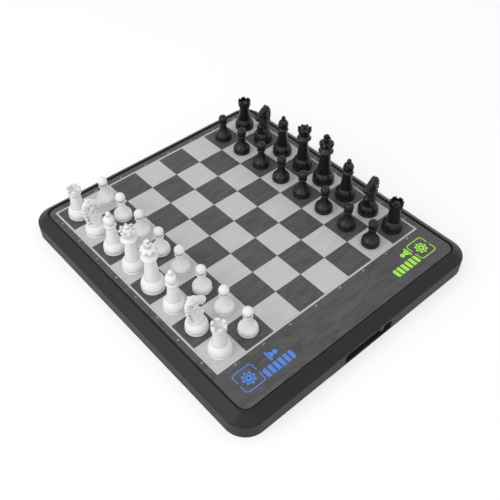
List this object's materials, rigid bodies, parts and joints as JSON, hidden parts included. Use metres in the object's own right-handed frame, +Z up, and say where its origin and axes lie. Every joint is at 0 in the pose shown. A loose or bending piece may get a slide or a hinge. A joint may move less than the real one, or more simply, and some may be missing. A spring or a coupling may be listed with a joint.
{
  "type": "electronic chess computer",
  "caption": "Low rectangular electronic chess board with a sloping bezel, a strip of lit touch controls beside the squares, a port bay in one side and a loose set of turned chess pieces.",
  "frame": {"origin": "middle of the housing's footprint, on the table under the rubber feet", "axes": "+Z up; +X from the a-file towards the control strip and the port bay; +Y from White's side to Black's"},
  "size_m": [0.428, 0.3832, 0.108],
  "materials": {
    "housing_plastic": "fine matte",
    "panel_plastic": "satin with a faint grain",
    "light_field": "satin",
    "blue_light": "lit",
    "green_light": "lit",
    "gasket_foam": "matte foam",
    "clear_film": "clear",
    "diffuser_sheet": "matte",
    "white_plastic": "matte",
    "circuit_board": "satin lacquer",
    "lamp": "clear lens",
    "screening_can": "bright",
    "battery_wrap": "shrink film",
    "cable_sheath": "satin",
    "bay_plastic": "matte",
    "button_plastic": "satin",
    "socket_steel": "bright",
    "screw_steel": "dark",
    "foot_rubber": "matte",
    "white_piece": "satin",
    "black_piece": "satin"
  },
  "bodies": {
    "board": {"top_housing": "housing_plastic", "bottom_cover": "housing_plastic", "playing_panel": "panel_plastic", "light_squares": "light_field", "grid_outline": "light_field", "white_side_icons": "blue_light", "black_side_icons": "green_light", "panel_gasket": "gasket_foam", "touch_film": "clear_film", "light_diffuser": "diffuser_sheet", "light_grid": "white_plastic", "main_board": "circuit_board", "square_leds": "lamp", "control_leds": "lamp", "processor_module": "screening_can", "wireless_module": "screening_can", "battery_pack": "battery_wrap", "battery_strap": "bay_plastic", "battery_lead": "cable_sheath", "port_board": "circuit_board", "usb_socket": "socket_steel", "power_switch": "bay_plastic", "port_liner": "bay_plastic", "ribbon_cable": "cable_sheath", "housing_screws": "screw_steel", "inner_screws": "screw_steel", "rubber_feet": "foot_rubber"},
    "power_button": {"power_button": "button_plastic"},
    "white_rook_a": {"white_rook_a": "white_piece"},
    "white_knight_b": {"white_knight_b": "white_piece"},
    "white_bishop_c": {"white_bishop_c": "white_piece"},
    "white_queen": {"white_queen": "white_piece"},
    "white_king": {"white_king": "white_piece"},
    "white_bishop_f": {"white_bishop_f": "white_piece"},
    "white_knight_g": {"white_knight_g": "white_piece"},
    "white_rook_h": {"white_rook_h": "white_piece"},
    "white_pawn_a": {"white_pawn_a": "white_piece"},
    "white_pawn_b": {"white_pawn_b": "white_piece"},
    "white_pawn_c": {"white_pawn_c": "white_piece"},
    "white_pawn_d": {"white_pawn_d": "white_piece"},
    "white_pawn_e": {"white_pawn_e": "white_piece"},
    "white_pawn_f": {"white_pawn_f": "white_piece"},
    "white_pawn_g": {"white_pawn_g": "white_piece"},
    "white_pawn_h": {"white_pawn_h": "white_piece"},
    "black_rook_a": {"black_rook_a": "black_piece"},
    "black_knight_b": {"black_knight_b": "black_piece"},
    "black_bishop_c": {"black_bishop_c": "black_piece"},
    "black_queen": {"black_queen": "black_piece"},
    "black_king": {"black_king": "black_piece"},
    "black_bishop_f": {"black_bishop_f": "black_piece"},
    "black_knight_g": {"black_knight_g": "black_piece"},
    "black_rook_h": {"black_rook_h": "black_piece"},
    "black_pawn_a": {"black_pawn_a": "black_piece"},
    "black_pawn_b": {"black_pawn_b": "black_piece"},
    "black_pawn_c": {"black_pawn_c": "black_piece"},
    "black_pawn_d": {"black_pawn_d": "black_piece"},
    "black_pawn_e": {"black_pawn_e": "black_piece"},
    "black_pawn_f": {"black_pawn_f": "black_piece"},
    "black_pawn_g": {"black_pawn_g": "black_piece"},
    "black_pawn_h": {"black_pawn_h": "black_piece"}
  },
  "joints": [
    {"name": "power_button_press", "type": "slide", "parent": "board", "child": "power_button", "axis": [-1, 0, 0], "range_m": [0, 0.001], "stiffness_N_per_m": 400, "springref_m": -0.001},
    {"name": "white_rook_a_lift", "type": "slide", "parent": "board", "child": "white_rook_a", "axis": [0, 0, 1], "range_m": [0, 0.1]},
    {"name": "white_knight_b_lift", "type": "slide", "parent": "board", "child": "white_knight_b", "axis": [0, 0, 1], "range_m": [0, 0.1]},
    {"name": "white_bishop_c_lift", "type": "slide", "parent": "board", "child": "white_bishop_c", "axis": [0, 0, 1], "range_m": [0, 0.1]},
    {"name": "white_queen_lift", "type": "slide", "parent": "board", "child": "white_queen", "axis": [0, 0, 1], "range_m": [0, 0.1]},
    {"name": "white_king_lift", "type": "slide", "parent": "board", "child": "white_king", "axis": [0, 0, 1], "range_m": [0, 0.1]},
    {"name": "white_bishop_f_lift", "type": "slide", "parent": "board", "child": "white_bishop_f", "axis": [0, 0, 1], "range_m": [0, 0.1]},
    {"name": "white_knight_g_lift", "type": "slide", "parent": "board", "child": "white_knight_g", "axis": [0, 0, 1], "range_m": [0, 0.1]},
    {"name": "white_rook_h_lift", "type": "slide", "parent": "board", "child": "white_rook_h", "axis": [0, 0, 1], "range_m": [0, 0.1]},
    {"name": "white_pawn_a_lift", "type": "slide", "parent": "board", "child": "white_pawn_a", "axis": [0, 0, 1], "range_m": [0, 0.1]},
    {"name": "white_pawn_b_lift", "type": "slide", "parent": "board", "child": "white_pawn_b", "axis": [0, 0, 1], "range_m": [0, 0.1]},
    {"name": "white_pawn_c_lift", "type": "slide", "parent": "board", "child": "white_pawn_c", "axis": [0, 0, 1], "range_m": [0, 0.1]},
    {"name": "white_pawn_d_lift", "type": "slide", "parent": "board", "child": "white_pawn_d", "axis": [0, 0, 1], "range_m": [0, 0.1]},
    {"name": "white_pawn_e_lift", "type": "slide", "parent": "board", "child": "white_pawn_e", "axis": [0, 0, 1], "range_m": [0, 0.1]},
    {"name": "white_pawn_f_lift", "type": "slide", "parent": "board", "child": "white_pawn_f", "axis": [0, 0, 1], "range_m": [0, 0.1]},
    {"name": "white_pawn_g_lift", "type": "slide", "parent": "board", "child": "white_pawn_g", "axis": [0, 0, 1], "range_m": [0, 0.1]},
    {"name": "white_pawn_h_lift", "type": "slide", "parent": "board", "child": "white_pawn_h", "axis": [0, 0, 1], "range_m": [0, 0.1]},
    {"name": "black_rook_a_lift", "type": "slide", "parent": "board", "child": "black_rook_a", "axis": [0, 0, 1], "range_m": [0, 0.1]},
    {"name": "black_knight_b_lift", "type": "slide", "parent": "board", "child": "black_knight_b", "axis": [0, 0, 1], "range_m": [0, 0.1]},
    {"name": "black_bishop_c_lift", "type": "slide", "parent": "board", "child": "black_bishop_c", "axis": [0, 0, 1], "range_m": [0, 0.1]},
    {"name": "black_queen_lift", "type": "slide", "parent": "board", "child": "black_queen", "axis": [0, 0, 1], "range_m": [0, 0.1]},
    {"name": "black_king_lift", "type": "slide", "parent": "board", "child": "black_king", "axis": [0, 0, 1], "range_m": [0, 0.1]},
    {"name": "black_bishop_f_lift", "type": "slide", "parent": "board", "child": "black_bishop_f", "axis": [0, 0, 1], "range_m": [0, 0.1]},
    {"name": "black_knight_g_lift", "type": "slide", "parent": "board", "child": "black_knight_g", "axis": [0, 0, 1], "range_m": [0, 0.1]},
    {"name": "black_rook_h_lift", "type": "slide", "parent": "board", "child": "black_rook_h", "axis": [0, 0, 1], "range_m": [0, 0.1]},
    {"name": "black_pawn_a_lift", "type": "slide", "parent": "board", "child": "black_pawn_a", "axis": [0, 0, 1], "range_m": [0, 0.1]},
    {"name": "black_pawn_b_lift", "type": "slide", "parent": "board", "child": "black_pawn_b", "axis": [0, 0, 1], "range_m": [0, 0.1]},
    {"name": "black_pawn_c_lift", "type": "slide", "parent": "board", "child": "black_pawn_c", "axis": [0, 0, 1], "range_m": [0, 0.1]},
    {"name": "black_pawn_d_lift", "type": "slide", "parent": "board", "child": "black_pawn_d", "axis": [0, 0, 1], "range_m": [0, 0.1]},
    {"name": "black_pawn_e_lift", "type": "slide", "parent": "board", "child": "black_pawn_e", "axis": [0, 0, 1], "range_m": [0, 0.1]},
    {"name": "black_pawn_f_lift", "type": "slide", "parent": "board", "child": "black_pawn_f", "axis": [0, 0, 1], "range_m": [0, 0.1]},
    {"name": "black_pawn_g_lift", "type": "slide", "parent": "board", "child": "black_pawn_g", "axis": [0, 0, 1], "range_m": [0, 0.1]},
    {"name": "black_pawn_h_lift", "type": "slide", "parent": "board", "child": "black_pawn_h", "axis": [0, 0, 1], "range_m": [0, 0.1]}
  ]
}
